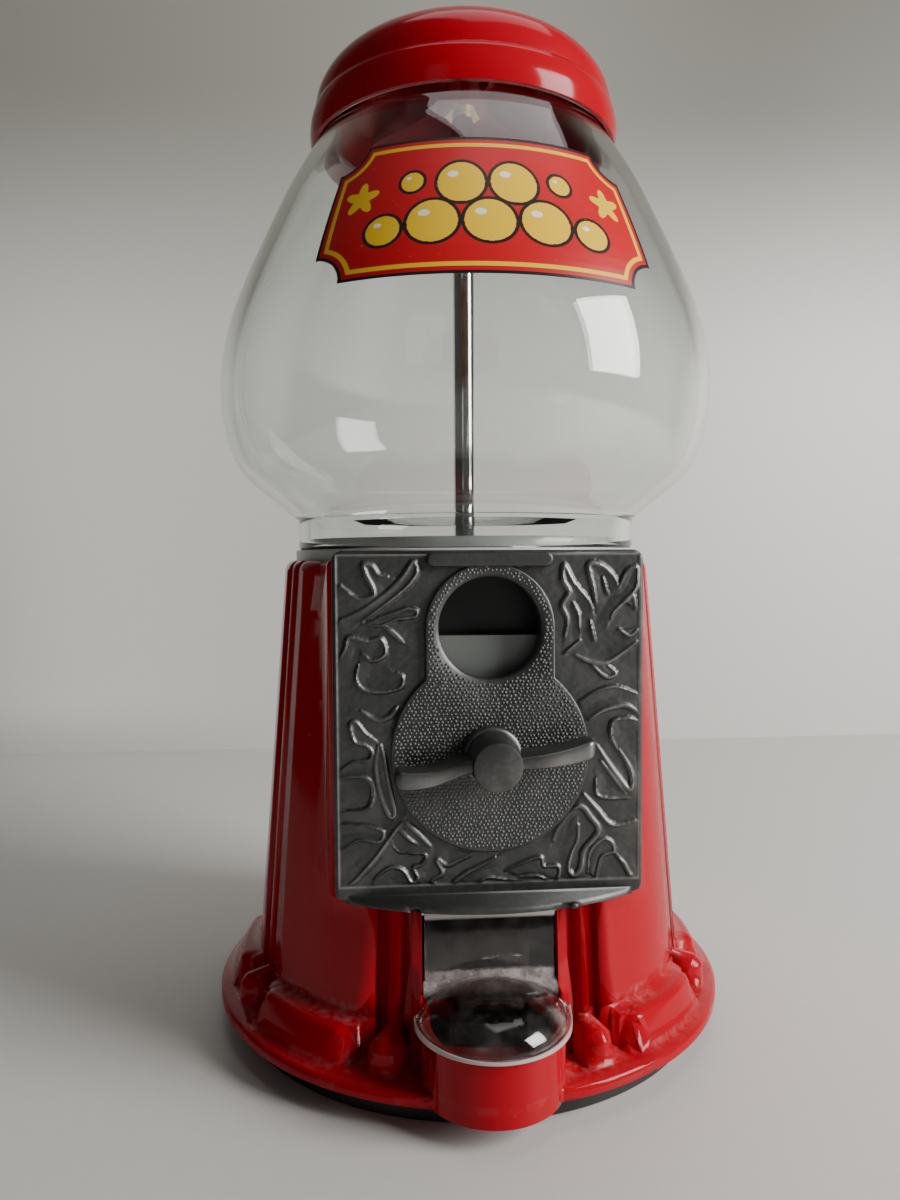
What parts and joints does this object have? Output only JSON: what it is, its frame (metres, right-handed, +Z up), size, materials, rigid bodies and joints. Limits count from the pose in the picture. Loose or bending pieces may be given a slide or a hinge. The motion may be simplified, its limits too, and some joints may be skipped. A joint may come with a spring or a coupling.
{
  "type": "gumball machine",
  "caption": "Small coin-operated sweet dispenser: clear globe with a lid on a fluted red base, dark ornamented face plate with turning handle, tray with a clear domed flap.",
  "frame": {"origin": "on the ground, on the axis of the centre rod", "axes": "+Z up along the centre rod, -Y towards the face plate and the tray"},
  "size_m": [0.1472, 0.1557, 0.28],
  "materials": {
    "red_enamel": "gloss enamel on a casting",
    "red_lid": "gloss enamel, lightly scuffed",
    "black_plastic": "satin moulded",
    "antique_pewter": "darkened casting with worn bright edges",
    "handle_pewter": "darkened casting, rubbed by hands",
    "grey_zinc": "plain grey die casting",
    "zinc_steel": "zinc plated",
    "bright_steel": "bright drawn",
    "rod_chrome": "chrome plated",
    "brass": "turned",
    "white_plastic": "moulded",
    "milky_plastic": "milky translucent moulded",
    "globe_glass": "clear blown glass",
    "clear_plastic": "clear moulded plastic, scuffed"
  },
  "bodies": {
    "base": {"body_shell": "red_enamel", "body_flange": "red_enamel", "bottom_plate": "black_plastic", "face_plate": "antique_pewter", "plate_screws": "zinc_steel", "coin_housing": "black_plastic", "housing_screws": "zinc_steel", "pawl_pin": "bright_steel", "hopper": "milky_plastic", "candy_guard": "milky_plastic", "globe": "globe_glass", "centre_rod": "rod_chrome", "rod_washer": "zinc_steel", "rod_nut": "zinc_steel", "chute": "black_plastic", "flap_hinge_pin": "bright_steel"},
    "drive": {"handle": "handle_pewter", "drive_shaft": "bright_steel", "coin_wheel": "grey_zinc", "ratchet_wheel": "grey_zinc", "drive_gear": "white_plastic", "shaft_clip": "zinc_steel"},
    "candy_wheel": {"candy_wheel": "milky_plastic"},
    "pawl": {"ratchet_pawl": "zinc_steel", "pawl_spring": "bright_steel"},
    "flap": {"flap": "clear_plastic"},
    "lid": {"lid": "red_lid", "lid_nut": "brass"}
  },
  "joints": [
    {"name": "handle_turn", "type": "hinge", "parent": "base", "child": "drive", "pos_m": [0, 0, 0.0855], "axis": [0, 1, 0], "continuous": true},
    {"name": "candy_wheel_spin", "type": "hinge", "parent": "base", "child": "candy_wheel", "pos_m": [0, 0, 0.12], "axis": [0, 0, 1], "continuous": true},
    {"name": "pawl_swing", "type": "hinge", "parent": "base", "child": "pawl", "pos_m": [0.018, -0.045, 0.0995], "axis": [0, 1, 0], "range_deg": [0, 14], "stiffness_Nm_per_rad": 0.01, "springref_deg": -5.73},
    {"name": "flap_swing", "type": "hinge", "parent": "base", "child": "flap", "pos_m": [0, -0.0562, 0.046], "axis": [-1, 0, 0], "range_deg": [0, 45]},
    {"name": "lid_lift", "type": "slide", "parent": "base", "child": "lid", "axis": [0, 0, 1], "range_m": [0, 0.06]}
  ],
  "couplings": [
    {"joint": "candy_wheel_spin", "follows": "handle_turn", "ratio": 0.85714}
  ]
}
